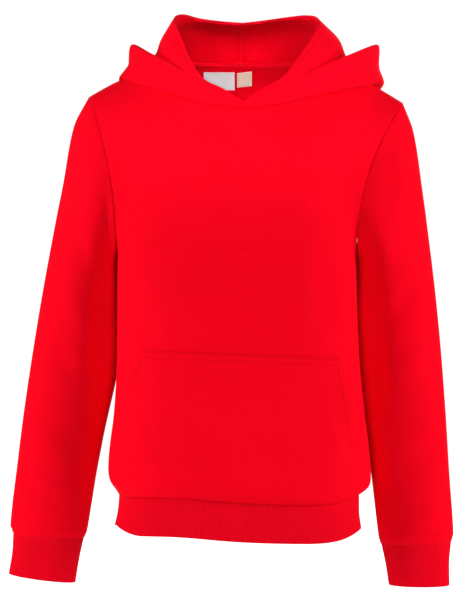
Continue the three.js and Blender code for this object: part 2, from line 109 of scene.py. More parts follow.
def lay_creases(bm, creases, inside, seam):
    """Moves both faces of the cloth together, out over each ridge and in over each trough."""
    skin = BVHTree.FromBMesh(bm)
    bm.normal_update()
    place = np.array([v.co[:] for v in bm.verts])
    out = np.array([(v.normal * (1 - 2 * round(v[inside])))[:] for v in bm.verts])
    hold = np.array([v[seam] for v in bm.verts])
    shift = np.zeros_like(place)
    for crease in creases:
        line = np.array([p[:] for p in crease_points(crease["line"], skin)])
        near = np.full(len(place), 1e9)
        along = np.zeros(len(place))
        for k in range(len(line) - 1):
            run = line[k + 1] - line[k]
            t = np.clip(((place - line[k]) @ run) / max(run @ run, 1e-12), 0, 1)
            gap = np.linalg.norm(place - (line[k] + t[:, None] * run), axis=1)
            better = gap < near
            near[better] = gap[better]
            along[better] = ((k + t) / (len(line) - 1))[better]
        width = crease["width"] * MM
        taper = np.clip(np.sin(np.pi * np.clip(along, 0, 1)), 0, 1) ** 0.6
        # a seam holds the cloth down beside it
        free = np.clip(hold / (crease.get("hold", CREASE_HOLD) * MM + 1e-6), 0, 1)
        free = free * free * (3 - 2 * free)
        rise = crease["height"] * MM * np.exp(-((near / width) ** 2)) * taper * free
        shift += out * rise[:, None]
    for v, d in zip(bm.verts, shift):
        v.co += Vector(d)


def cut_edges(bm, crisp, inside):
    """The cut edges of the outer face, each from corner to corner, with the cloth on its left."""
    follow = {}
    for edge in bm.edges:
        if edge[crisp] > 0.5:
            for loop in edge.link_loops:
                if all(v[inside] < 0.01 for v in loop.face.verts):
                    follow[loop.vert] = loop.link_loop_next.vert
    corners = {v for v in follow if sum(e[crisp] > 0.5 for e in v.link_edges) > 2}
    left = set(follow)
    edges = []
    for start in sorted(corners, key=lambda v: v.index) + sorted(follow, key=lambda v: v.index):
        if start not in left:
            continue
        run = [start]
        while run[-1] in left:
            left.discard(run[-1])
            run.append(follow[run[-1]])
            if run[-1] in corners:
                break
        line = []
        for v in run:
            up = Vector()
            for face in v.link_faces:
                if all(w[inside] < 0.01 for w in face.verts):
                    up += face.normal
            line.append((v.co.copy(), up.normalized()))
        edges.append(line)
    return edges


def make_cloth(name, node, wall, creases=(), joining=2.0, levels=2, ribs=None, ease=(0, 0, 0)):
    """A node's two cloth faces and cut edges, made smooth, creased and rounded at the cut, with its cut edges' lines.
    ease is how far in millimetres the piece is moved off what it is sewn to."""
    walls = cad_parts[node].data
    mesh = bpy.data.meshes.new(name)
    mesh.from_pydata([v.co[:] for v in walls.vertices], [], [p.vertices[:] for p in walls.polygons])
    bm = bmesh.new()
    bm.from_mesh(mesh)
    bmesh.ops.remove_doubles(bm, verts=bm.verts, dist=1e-6)
    # the triangles that close the wall at its cut edges are joined first, then those of the two faces
    through = {e for e in bm.edges if abs(e.calc_length() - wall * MM) < WALL_PLAY * MM}
    diagonals = [e for e in bm.edges if e not in through
                 and all(sum(x in through for x in f.edges) == 1 for f in e.link_faces)]
    bmesh.ops.dissolve_edges(bm, edges=diagonals, use_verts=False)
    bmesh.ops.join_triangles(
        bm, faces=bm.faces, angle_face_threshold=math.pi, angle_shape_threshold=math.pi,
        topology_influence=joining,
    )
    crisp = bm.edges.layers.float.new("crease_edge")
    inside = bm.verts.layers.float.new("inside")
    across = {e for e in bm.edges if abs(e.calc_length() - wall * MM) < WALL_PLAY * MM}
    rim = {f for f in bm.faces if sum(e in across for e in f.edges) >= 2}
    for edge in bm.edges:
        if sum(f in rim for f in edge.link_faces) == 1:
            edge[crisp] = 1
    for edge in across:
        for v in edge.verts:
            ways = [(e.other_vert(v).co - v.co).normalized() for e in v.link_edges if e[crisp] and e not in across]
            if len(ways) == 2 and ways[0].angle(-ways[1]) > math.radians(CORNER_TURN):
                edge[crisp] = 1
    faces = sorted(set(bm.faces) - rim, key=lambda f: f.index)
    middle = sum((f.calc_center_median() for f in faces), Vector()) / len(faces)
    # the rim parts the cloth into two faces, of which the outer one looks away from the middle
    left = set(faces)
    sides = []
    while left:
        side = [left.pop()]
        for face in side:
            for edge in face.edges:
                for other in edge.link_faces:
                    if other in left:
                        left.discard(other)
                        side.append(other)
        sides.append((sum((f.calc_center_median() - middle).dot(f.normal) * f.calc_area() for f in side), side))
    outer = max(sides, key=lambda found: found[0])[1]
    for _, side in sides:
        for face in side:
            for v in face.verts:
                v[inside] = 0 if side is outer else 1
    bm.to_mesh(mesh)
    bm.free()

    cloth = bpy.data.objects.new(name, mesh)
    bpy.context.scene.collection.objects.link(cloth)
    bpy.ops.object.select_all(action="DESELECT")
    bpy.context.view_layer.objects.active = cloth
    cloth.select_set(True)
    smooth = cloth.modifiers.new("smooth", "SUBSURF")
    smooth.levels = smooth.render_levels = levels
    # the corners are set out until the smooth cloth passes through the cut's own points, so the seams still meet
    cut = np.array([v.co[:] for v in mesh.vertices])
    corners = cut.copy()
    for _ in range(SMOOTHING_ROUNDS):
        smoothed = cloth.evaluated_get(bpy.context.evaluated_depsgraph_get()).data
        corners += cut - np.array([smoothed.vertices[k].co[:] for k in range(len(cut))])
        mesh.vertices.foreach_set("co", corners.ravel())
        mesh.update()
        bpy.context.view_layer.update()
    bpy.ops.object.modifier_apply(modifier=smooth.name)

    bm = bmesh.new()
    bm.from_mesh(cloth.data)
    crisp = bm.edges.layers.float["crease_edge"]
    inside = bm.verts.layers.float["inside"]
    seam = bm.verts.layers.float.new("seam")
    rims = KDTree(len(bm.verts))
    for v in bm.verts:
        if any(e[crisp] > 0.5 for e in v.link_edges):
            rims.insert(v.co, v.index)
    rims.balance()
    for v in bm.verts:
        v[seam] = rims.find(v.co)[2]
    if creases:
        lay_creases(bm, creases, inside, seam)
    for v in bm.verts:
        v.co += Vector(ease) * MM
    bm.normal_update()
    edges = cut_edges(bm, crisp, inside)
    if ribs:
        count_ribs(bm, edges, ribs)
    sharp = [e for e in bm.edges if e[crisp] > 0.5]
    bmesh.ops.bevel(
        bm, geom=sharp, offset=CUT_EDGE_ROUNDING * MM, segments=2, profile=0.5, affect="EDGES",
        offset_type="OFFSET", clamp_overlap=True,
    )
    bm.edges.layers.float.remove(bm.edges.layers.float["crease_edge"])
    for face in bm.faces:
        face.smooth = True
    bm.to_mesh(cloth.data)
    bm.free()
    return cloth, edges


def edge_near(edges, point):
    """The cut edge whose middle is nearest to a point in millimetres."""
    place = Vector(point) * MM
    return min(edges, key=lambda line: (line[len(line) // 2][0] - place).length)


def mark_topstitching(cloth, edges):
    """Keeps, at every point of the cloth, how far it is from the edges that are topstitched."""
    points = [p for line in edges for p, _ in line]
    rows = KDTree(len(points))
    for k, p in enumerate(points):
        rows.insert(p, k)
    rows.balance()
    far = cloth.data.attributes.new("topstitch", "FLOAT", "POINT")
    far.data.foreach_set("value", [rows.find(v.co)[2] for v in cloth.data.vertices])


def seam_line(cloth, edge, inset, start=0.0, end=1.0):
    """A line on the cloth, inset from its cut edge: its points and the way up from the cloth at each."""
    skin = BVHTree.FromPolygons(
        [v.co for v in cloth.data.vertices], [p.vertices for p in cloth.data.polygons]
    )
    lengths = [0.0]
    for (a, _), (b, _) in zip(edge, edge[1:]):
        lengths.append(lengths[-1] + (b - a).length)
    count = max(8, int((end - start) * lengths[-1] / (2 * MM)))
    line = []
    k = 0
    for step in range(count + 1):
        want = (start + (end - start) * step / count) * lengths[-1]
        while k < len(edge) - 2 and lengths[k + 1] < want:
            k += 1
        t = (want - lengths[k]) / max(lengths[k + 1] - lengths[k], 1e-9)
        p = edge[k][0].lerp(edge[k + 1][0], t)
        up = edge[k][1].lerp(edge[k + 1][1], t).normalized()
        way = (edge[k + 1][0] - edge[k][0]).normalized()
        side = up.cross(way).normalized()
        place, normal, _, _ = skin.find_nearest(p + side * inset * MM)
        line.append((place, normal))
    return line


def thread_piece(name, verts, faces, material):
    """A piece of the scene that is all thread, with its faces turned outwards."""
    mesh = bpy.data.meshes.new(name)
    mesh.from_pydata(verts, [], faces)
    threads = bpy.data.objects.new(name, mesh)
    bpy.context.scene.collection.objects.link(threads)
    bm = bmesh.new()
    bm.from_mesh(mesh)
    bmesh.ops.recalc_face_normals(bm, faces=bm.faces)
    for face in bm.faces:
        face.smooth = True
    bm.to_mesh(mesh)
    bm.free()
    mesh.materials.append(material)
    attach(threads, "root")
    return threads


def sew(name, lines, material):
    """A row of short stitches along each line, each one an arched thread whose ends dip into the cloth."""
    verts, faces = [], []
    sides = THREAD_SIDES
    for line in lines:
        walked, next_stitch = 0.0, 0.4 * STITCH_PITCH * MM
        for (a, up_a), (b, up_b) in zip(line, line[1:]):
            length = (b - a).length
            while length > 0 and walked + length > next_stitch:
                t = (next_stitch - walked) / length
                middle = a.lerp(b, t)
                up = up_a.lerp(up_b, t).normalized()
                way = (b - a).normalized()
                across = up.cross(way).normalized()
                first = len(verts)
                for s, r, h in STITCH_RINGS:
                    centre = middle + way * s * STITCH_LENGTH / 2 * MM + up * h * THREAD_RADIUS * MM
                    for k in range(sides):
                        turn = 2 * math.pi * (k + 0.5) / sides
                        verts.append(
                            centre + (across * math.cos(turn) + up * math.sin(turn)) * r * THREAD_RADIUS * MM
                        )
                for ring in range(len(STITCH_RINGS) - 1):
                    for k in range(sides):
                        p = first + ring * sides + k
                        q = first + ring * sides + (k + 1) % sides
                        faces.append((p, q, q + sides, p + sides))
                faces.append(tuple(first + k for k in reversed(range(sides))))
                faces.append(tuple(len(verts) - sides + k for k in range(sides)))
                next_stitch += STITCH_PITCH * MM
            walked += length
    return thread_piece(name, verts, faces, material)


def close_seam(name, edges, wall, material):
    """The overlocked thread that lies in a seam, halfway through the cloth, between the two cut edges."""
    radius = SEAM_THREAD_SHARE * wall * MM
    sides = SEAM_THREAD_SIDES
    verts, faces = [], []
    for edge in edges:
        first = len(verts)
        for k, (p, up) in enumerate(edge):
            way = (edge[min(k + 1, len(edge) - 1)][0] - edge[max(k - 1, 0)][0]).normalized()
            side = up.cross(way).normalized()
            centre = p - up * wall / 2 * MM - side * SEAM_GAP / 2 * MM
            for n in range(sides):
                turn = 2 * math.pi * n / sides
                verts.append(centre + (side * math.cos(turn) + up * math.sin(turn)) * radius)
        for k in range(len(edge) - 1):
            for n in range(sides):
                a, b = first + k * sides + n, first + k * sides + (n + 1) % sides
                faces.append((a, b, b + sides, a + sides))
        faces.append(tuple(first + n for n in reversed(range(sides))))
        faces.append(tuple(first + (len(edge) - 1) * sides + n for n in range(sides)))
    return thread_piece(name, verts, faces, material)


def node_group(name, inputs, outputs):
    """An empty shader group with its sockets, and its input and output nodes."""
    group = bpy.data.node_groups.new(name, "ShaderNodeTree")
    for label, kind, value in inputs:
        socket = group.interface.new_socket(name=label, in_out="INPUT", socket_type=kind)
        if value is not None:
            socket.default_value = value
    for label, kind in outputs:
        group.interface.new_socket(name=label, in_out="OUTPUT", socket_type=kind)
    return group, group.nodes.new("NodeGroupInput"), group.nodes.new("NodeGroupOutput")


def add(tree, kind, **settings):
    """A node with its properties set and its named inputs given values or links."""
    node = tree.nodes.new(kind)
    for key, value in settings.pop("props", {}).items():
        setattr(node, key, value)
    for key, value in settings.pop("inputs", {}).items():
        if isinstance(value, bpy.types.NodeSocket):
            tree.links.new(value, node.inputs[key])
        else:
            node.inputs[key].default_value = value
    return node


# the knitted face: fine wales with a soft cloud of shade, and the brushed nap of the inner face
knit_face, enter, leave = node_group(
    "knit_face",
    [("Place", "NodeSocketVector", None), ("Inside", "NodeSocketFloat", 0.0)],
    [("Shade", "NodeSocketFloat"), ("Height", "NodeSocketFloat")],
)
stretched = add(knit_face, "ShaderNodeVectorMath", props={"operation": "MULTIPLY"},
                inputs={0: enter.outputs["Place"], 1: (1.0, 1.0, 0.62)})
loops = add(knit_face, "ShaderNodeTexVoronoi", inputs={"Vector": stretched.outputs[0], "Scale": 1150.0})
nap = add(knit_face, "ShaderNodeTexNoise",
          inputs={"Vector": enter.outputs["Place"], "Scale": 620.0, "Detail": 4.0, "Roughness": 0.65})
clouds = add(knit_face, "ShaderNodeTexNoise",
             inputs={"Vector": enter.outputs["Place"], "Scale": 11.0, "Detail": 2.0, "Roughness": 0.45})
flecks = add(knit_face, "ShaderNodeTexNoise",
             inputs={"Vector": stretched.outputs[0], "Scale": 240.0, "Detail": 3.0, "Roughness": 0.6})
loop_height = add(knit_face, "ShaderNodeMath", props={"operation": "MULTIPLY"},
                  inputs={0: loops.outputs["Distance"], 1: -0.13})
nap_height = add(knit_face, "ShaderNodeMath", props={"operation": "MULTIPLY"}, inputs={0: nap.outputs[0], 1: 0.35})
height = add(knit_face, "ShaderNodeMix", props={"data_type": "FLOAT"},
             inputs={0: enter.outputs["Inside"], 2: loop_height.outputs[0], 3: nap_height.outputs[0]})
shade = add(knit_face, "ShaderNodeMix", props={"data_type": "FLOAT"},
            inputs={0: 0.25, 2: clouds.outputs[0], 3: flecks.outputs[0]})
spread = add(knit_face, "ShaderNodeMapRange",
             inputs={"Value": shade.outputs[0], "From Min": 0.1, "From Max": 0.9})
knit_face.links.new(spread.outputs[0], leave.inputs["Shade"])
knit_face.links.new(height.outputs[0], leave.inputs["Height"])


# the seams: the cloth rounds down into every seam, and each topstitched row pulls a fine furrow beside its edge; the
# Shadow output is painted shade, which darkens the colour in these seam valleys and furrows
seam_relief, enter, leave = node_group(
    "seam_relief",
    [("Seam", "NodeSocketFloat", 1.0), ("Topstitch", "NodeSocketFloat", 1.0), ("Row", "NodeSocketFloat", 6.0),
     ("Second Row", "NodeSocketFloat", -9.0)],
    [("Height", "NodeSocketFloat"), ("Shadow", "NodeSocketFloat")],
)


def math_node(tree, operation, first, second=0.0):
    """A maths node's result."""
    return add(tree, "ShaderNodeMath", props={"operation": operation}, inputs={0: first, 1: second}).outputs[0]


def furrow(tree, distance, row, width):
    """1 on a row that lies at a distance from an edge, in millimetres, and 0 from its width outwards."""
    off = math_node(tree, "ABSOLUTE", math_node(tree, "SUBTRACT", distance, row))
    return add(tree, "ShaderNodeMapRange", props={"interpolation_type": "SMOOTHSTEP"},
               inputs={"Value": off, "From Min": 0.0, "From Max": width, "To Min": 1.0, "To Max": 0.0}).outputs[0]


seam_mm = math_node(seam_relief, "MULTIPLY", enter.outputs["Seam"], 1000.0)
edge_mm = math_node(seam_relief, "MULTIPLY", enter.outputs["Topstitch"], 1000.0)
valley = furrow(seam_relief, seam_mm, 0.0, 2.4)
rows = math_node(seam_relief, "MAXIMUM", furrow(seam_relief, edge_mm, enter.outputs["Row"], 1.5),
                 furrow(seam_relief, edge_mm, enter.outputs["Second Row"], 1.5))
deep_valley = math_node(seam_relief, "MULTIPLY", valley, -0.5)
deep_rows = math_node(seam_relief, "MULTIPLY", rows, -0.45)
seam_relief.links.new(math_node(seam_relief, "ADD", deep_valley, deep_rows), leave.inputs["Height"])
shadow = math_node(seam_relief, "MAXIMUM", math_node(seam_relief, "MULTIPLY", rows, 0.5),
                   math_node(seam_relief, "MULTIPLY", furrow(seam_relief, seam_mm, 0.0, 1.0), 0.5))
seam_relief.links.new(shadow, leave.inputs["Shadow"])


def cloth_shader(name, deep, bright, rough, sheen, sheen_tint):
    """A new material with its shader, the colours that its shade runs between, and its mix node."""
    material = bpy.data.materials.new(name)
    material.use_nodes = True
    tree = material.node_tree
    shader = tree.nodes["Principled BSDF"]
    shader.inputs["Roughness"].default_value = rough
    shader.inputs["Specular IOR Level"].default_value = 0.04
    shader.inputs["Sheen Weight"].default_value = sheen
    shader.inputs["Sheen Roughness"].default_value = 0.45
    shader.inputs["Sheen Tint"].default_value = (*sheen_tint, 1.0)
    colour = add(tree, "ShaderNodeMix", props={"data_type": "RGBA"},
                 inputs={6: (*deep, 1.0), 7: (*bright, 1.0)})
    tree.links.new(colour.outputs[2], shader.inputs["Base Color"])
    return material, tree, shader, colour


def fleece(name, row=-9.0, second_row=-9.0, brushed=True):
    """Red sweatshirt fleece, smooth and matt outside, brushed inside unless it is cut double, with its rows of
    topstitching in millimetres."""
    material, tree, shader, colour = cloth_shader(
        name, deep=(0.84, 0.0, 0.009), bright=(0.94, 0.0, 0.013), rough=0.88, sheen=0.05,
        sheen_tint=(1.0, 0.02, 0.03),
    )
    place = add(tree, "ShaderNodeTexCoord")
    known = {key: add(tree, "ShaderNodeAttribute", props={"attribute_name": key}).outputs["Fac"]
             for key in ("inside", "seam", "topstitch")}
    knit = add(tree, "ShaderNodeGroup", props={"node_tree": knit_face}, inputs={"Place": place.outputs["Object"]})
    if brushed:
        tree.links.new(known["inside"], knit.inputs["Inside"])
    relief = add(tree, "ShaderNodeGroup", props={"node_tree": seam_relief},
                 inputs={"Seam": known["seam"], "Topstitch": known["topstitch"], "Row": row, "Second Row": second_row})
    # painted shade: the colour is darkened along the seams and the topstitched rows
    lit = math_node(tree, "SUBTRACT", 1.0, math_node(tree, "MULTIPLY", relief.outputs["Shadow"], 0.6))
    tree.links.new(math_node(tree, "MULTIPLY", knit.outputs["Shade"], lit), colour.inputs[0])
    height = math_node(tree, "ADD", knit.outputs["Height"], relief.outputs["Height"])
    bump = add(tree, "ShaderNodeBump", inputs={"Strength": 1.0, "Distance": 0.001, "Height": height})
    tree.links.new(bump.outputs[0], shader.inputs["Normal"])
    return material


front_fleece = fleece("front_fleece", row=NECK_TOPSTITCH)

red_thread, thread_tree, thread_shader, thread_colour = cloth_shader(
    "red_thread", deep=(0.80, 0.0, 0.010), bright=(0.94, 0.004, 0.016), rough=0.6, sheen=0.05,
    sheen_tint=(1.0, 0.1, 0.1),
)
twist = add(thread_tree, "ShaderNodeTexNoise", inputs={"Scale": 900.0, "Detail": 2.0})
thread_tree.links.new(add(thread_tree, "ShaderNodeTexCoord").outputs["Object"], twist.inputs["Vector"])
thread_tree.links.new(twist.outputs[0], thread_colour.inputs[0])


def finish_cloth(cloth, node, material):
    """Gives the piece its material, hangs it on the root body and hides the part it was cut from."""
    cloth.data.materials.append(material)
    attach(cloth, "root")
    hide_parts(node)


front, front_edges = make_cloth("front_panel", "front", FLEECE_WALL, FRONT_CREASES, joining=1.5)
neck_edge = edge_near(front_edges, (0, -90, -28))
mark_topstitching(front, [neck_edge])
front_row = seam_line(front, neck_edge, NECK_TOPSTITCH, *ROW_ENDS)
front_stitches = sew("neck_topstitch", [front_row], red_thread)
front_seams = close_seam("front_seams", front_edges, FLEECE_WALL, red_thread)
finish_cloth(front, "front", front_fleece)

# Back panel: the same fleece, cut on the fold and a little higher at the neck than the front.
# It is overlocked to the front at the sides and shoulders, and the hood is sewn into its neck.
BACK_CREASES = [
    {"line": [(-120, 66, -250), (-126, 66, -350), (-134, 60, -455)], "width": 14, "height": 1.9},
    {"line": [(-60, 86, -330), (-66, 88, -400), (-74, 86, -470)], "width": 16, "height": -1.5},
    {"line": [(-20, 92, -200), (-26, 92, -300), (-30, 92, -380)], "width": 20, "height": 1.3},
    {"line": [(54, 88, -300), (64, 88, -390), (70, 84, -470)], "width": 15, "height": 1.7},
    {"line": [(112, 66, -240), (118, 66, -340), (126, 58, -440)], "width": 13, "height": -1.8},
    {"line": [(-140, 40, -150), (-110, 70, -130), (-76, 82, -120)], "width": 12, "height": 1.8},
    {"line": [(-136, 44, -185), (-100, 76, -175), (-56, 88, -180)], "width": 14, "height": -1.7},
    {"line": [(128, 40, -140), (100, 70, -125), (70, 82, -118)], "width": 12, "height": 1.8},
    {"line": [(126, 44, -180), (92, 78, -172), (50, 88, -186)], "width": 14, "height": -1.6},
    # small gathers where the bottom band draws the body in
    {"line": [(-96, 70, -484), (-94, 78, -456)], "width": 6, "height": 1.1, "hold": 3},
    {"line": [(-30, 80, -486), (-32, 88, -458)], "width": 6, "height": -1.0, "hold": 3},
    {"line": [(22, 80, -486), (20, 88, -460)], "width": 6, "height": 1.0, "hold": 3},
    {"line": [(92, 68, -486), (94, 76, -456)], "width": 6, "height": -1.1, "hold": 3},
    # the body swells softly under each arm, where it rests against the sleeve
    {"line": [(-150, 27, -192), (-150, 27, -214), (-150, 27, -238)], "width": 9, "height": 2.8, "hold": 3},
    {"line": [(136, 28, -170), (136, 28, -205), (136, 27, -238)], "width": 9, "height": 2.8, "hold": 3},
    {"line": [(136, 17, -246), (136, 17, -268), (135, 17, -292)], "width": 11, "height": -0.7, "hold": 3},
]
back, back_edges = make_cloth("back_panel", "back", FLEECE_WALL, BACK_CREASES)
back_neck = edge_near(back_edges, (0, 50, 33))
mark_topstitching(back, [back_neck])
back_row = seam_line(back, back_neck, NECK_TOPSTITCH, *ROW_ENDS)
back_stitches = sew("back_neck_topstitch", [back_row], red_thread)
back_seams = close_seam("back_seams", back_edges, FLEECE_WALL, red_thread)
finish_cloth(back, "back", front_fleece)

# Sleeves: one piece of the fleece each, cut to a cap at the top and closed by a seam under the arm.
# Each is overlocked into its armhole and gathered a little into its cuff.
SLEEVE_CREASES = {
    "left": [
        # the inner front sinks back beside the body
        {"line": [(-162, -44, -110), (-160, -42, -200), (-160, -34, -290), (-162, -28, -390)], "width": 15,
         "height": -7.0},
        # it swells a little towards the body under the arm
        {"line": [(-152, 10, -200), (-152, 10, -214), (-152, 10, -228)], "width": 6, "height": 1.0, "hold": 3},
        {"line": [(-206, -40, -160), (-194, -46, -205), (-182, -38, -240)], "width": 12, "height": -2.6},
        {"line": [(-222, -30, -230), (-200, -36, -268), (-172, -22, -300)], "width": 12, "height": 2.3},
        {"line": [(-236, -22, -300), (-212, -28, -335), (-180, -14, -356)], "width": 13, "height": -2.3},
        {"line": [(-254, -10, -400), (-228, -26, -432), (-200, -20, -452)], "width": 12, "height": 2.1},
        {"line": [(-262, -8, -470), (-244, -26, -486), (-214, -26, -500)], "width": 9, "height": -2.1},
        {"line": [(-240, -30, -520), (-238, -30, -490), (-234, -30, -466)], "width": 7, "height": 1.1, "hold": 3},
        {"line": [(-214, -28, -524), (-214, -30, -500), (-212, -30, -480)], "width": 7, "height": -1.0, "hold": 3},
        {"line": [(-180, 60, -250), (-206, 70, -290), (-222, 66, -320)], "width": 13, "height": 2.5},
        {"line": [(-196, 62, -350), (-220, 60, -370), (-240, 50, -390)], "width": 12, "height": -2.2},
    ],
    "right": [
        {"line": [(146, -42, -180), (144, -38, -240), (146, -30, -310), (150, -24, -400)], "width": 15, "height": -7.0},
        {"line": [(138, 10, -198), (138, 10, -216), (138, 10, -236)], "width": 6, "height": 1.3, "hold": 3},
        {"line": [(168, -50, -72), (176, -52, -98), (184, -52, -128)], "width": 9, "height": -3.1},
        {"line": [(156, -40, -150), (164, -44, -178), (176, -44, -214)], "width": 10, "height": 2.3},
        {"line": [(214, -34, -230), (192, -34, -262), (160, -20, -290)], "width": 12, "height": -2.5},
        {"line": [(226, -22, -310), (200, -24, -336), (168, -10, -356)], "width": 13, "height": 2.3},
        {"line": [(238, -6, -420), (214, -16, -444), (184, -10, -456)], "width": 12, "height": -2.2},
        {"line": [(242, -12, -500), (222, -24, -512), (192, -22, -518)], "width": 9, "height": 2.0},
        {"line": [(222, -22, -534), (222, -24, -508), (220, -22, -486)], "width": 7, "height": 1.1, "hold": 3},
        {"line": [(194, -18, -536), (194, -20, -514), (194, -18, -494)], "width": 7, "height": -1.0, "hold": 3},
        {"line": [(160, 64, -250), (184, 72, -290), (206, 70, -322)], "width": 13, "height": 2.5},
        {"line": [(176, 66, -352), (200, 66, -372), (222, 58, -392)], "width": 12, "height": -2.2},
    ],
}
plain_fleece = fleece("plain_fleece")
for side in ("left", "right"):
    sleeve, sleeve_edges = make_cloth(
        f"{side}_sleeve", f"sleeve_{side}", FLEECE_WALL, SLEEVE_CREASES[side], joining=1.5
    )
    sleeve_seam = close_seam(f"{side}_sleeve_seams", sleeve_edges, FLEECE_WALL, red_thread)
    finish_cloth(sleeve, f"sleeve_{side}", plain_fleece)

# Cuffs: a short tube of fine rib each, folded double with the fold at the wrist.
# The open end is stretched to the sleeve's width and overlocked to it.
RIB_WALL = 3.0
RIB_PITCH = 2.6


def count_ribs(bm, edges, pitch):
    """The cloth's own map on a tube: ribs counted round it, and ribs' widths counted along it."""
    loops = sorted(edges, key=len)[-2:]
    ends = [sum((p for p, _ in line), Vector()) / len(line) for line in loops]
    axis = (ends[1] - ends[0]).normalized()
    first = (Vector((1, 0, 0)) - axis * axis.x).normalized()
    second = axis.cross(first)

    def angle(p):
        away = p - ends[0]
        return math.atan2(away.dot(second), away.dot(first))

    ring = [p for p, _ in loops[0]][:-1]
    ring.sort(key=angle)
    turns = [angle(p) for p in ring]
    walked = [0.0]
    for a, b in zip(ring, ring[1:] + ring[:1]):
        walked.append(walked[-1] + (b - a).length)
    count = round(walked[-1] / (pitch * MM))
    turns = np.array([turns[-1] - 2 * math.pi] + turns + [turns[0] + 2 * math.pi])
    walked = np.array([walked[-2] - walked[-1]] + walked) / walked[-1] * count
    ribs = bm.loops.layers.uv.new("ribs")
    for face in bm.faces:
        around = [float(np.interp(angle(v.co), turns, walked)) for v in face.verts]
        if max(around) - min(around) > count / 2:
            around = [u + count if u < count / 2 else u for u in around]
        for loop, u in zip(face.loops, around):
            loop[ribs].uv = (u, (loop.vert.co - ends[0]).dot(axis) / (pitch * MM))


rib_knit, enter, leave = node_group(
    "rib_knit",
    [("Ribs", "NodeSocketVector", None), ("Place", "NodeSocketVector", None)],
    [("Shade", "NodeSocketFloat"), ("Height", "NodeSocketFloat")],
)
parts = add(rib_knit, "ShaderNodeSeparateXYZ", inputs={0: enter.outputs["Ribs"]})
turned = add(rib_knit, "ShaderNodeMath", props={"operation": "MULTIPLY"}, inputs={0: parts.outputs[0], 1: math.pi})
wave = add(rib_knit, "ShaderNodeMath", props={"operation": "SINE"}, inputs={0: turned.outputs[0]})
rib = add(rib_knit, "ShaderNodeMath", props={"operation": "ABSOLUTE"}, inputs={0: wave.outputs[0]})
round_rib = add(rib_knit, "ShaderNodeMath", props={"operation": "POWER"}, inputs={0: rib.outputs[0], 1: 0.6})
rows = add(rib_knit, "ShaderNodeMath", props={"operation": "MULTIPLY"}, inputs={0: parts.outputs[1], 1: 16.0})
row_wave = add(rib_knit, "ShaderNodeMath", props={"operation": "SINE"}, inputs={0: rows.outputs[0]})
row_height = add(rib_knit, "ShaderNodeMath", props={"operation": "MULTIPLY"}, inputs={0: row_wave.outputs[0], 1: 0.06})
height = add(rib_knit, "ShaderNodeMath", props={"operation": "ADD"},
             inputs={0: round_rib.outputs[0], 1: row_height.outputs[0]})
# the colour: a random cloud of tone, mixed with painted shade that is darker in the valleys between the ribs and
# lighter on their tops
clouds = add(rib_knit, "ShaderNodeTexNoise",
             inputs={"Vector": enter.outputs["Place"], "Scale": 14.0, "Detail": 2.0, "Roughness": 0.5})
shade = add(rib_knit, "ShaderNodeMix", props={"data_type": "FLOAT"},
            inputs={0: 0.55, 2: clouds.outputs[0], 3: round_rib.outputs[0]})
rib_knit.links.new(shade.outputs[0], leave.inputs["Shade"])
rib_knit.links.new(height.outputs[0], leave.inputs["Height"])

# painted shade: the rib's colours are set darker than the fleece's, so the band and cuffs, low on the garment, read as
# less lit
red_rib, tree, shader, colour = cloth_shader(
    "red_rib", deep=(0.66, 0.0, 0.008), bright=(0.84, 0.0, 0.012), rough=0.85, sheen=0.05,
    sheen_tint=(1.0, 0.02, 0.03),
)
knit = add(tree, "ShaderNodeGroup", props={"node_tree": rib_knit}, inputs={
    "Ribs": add(tree, "ShaderNodeUVMap", props={"uv_map": "ribs"}).outputs[0],
    "Place": add(tree, "ShaderNodeTexCoord").outputs["Object"],
})
tree.links.new(knit.outputs["Shade"], colour.inputs[0])
bump = add(tree, "ShaderNodeBump", inputs={"Strength": 0.6, "Distance": 0.0005, "Height": knit.outputs["Height"]})
tree.links.new(bump.outputs[0], shader.inputs["Normal"])

for side in ("left", "right"):
    cuff, _ = make_cloth(f"{side}_cuff", f"cuff_{side}", RIB_WALL, ribs=RIB_PITCH)
    finish_cloth(cuff, f"cuff_{side}", red_rib)

# Bottom band: a tube of the same rib, folded double with the fold at the bottom.
# It is stretched to the body's width at the seam, so the body bulges a little over it at both sides.
BAND_DEPTH = 40
BAND_CORNERS = (
    {"x": -151, "reach": 34, "rise": 13},
    {"x": 151, "reach": 42, "rise": 13},
)
band, _ = make_cloth("bottom_band", "hem_band", RIB_WALL, ribs=RIB_PITCH)
lowest = min(v.co.z for v in band.data.vertices)
for v in band.data.vertices:
    # the fold draws up towards both sides
    for corner in BAND_CORNERS:
        near = max(0.0, 1 - abs(v.co.x - corner["x"] * MM) / (corner["reach"] * MM))
        down = max(0.0, 1 - (v.co.z - lowest) / (BAND_DEPTH * MM))
        v.co.z += corner["rise"] * MM * near ** 2 * down
finish_cloth(band, "hem_band", red_rib)

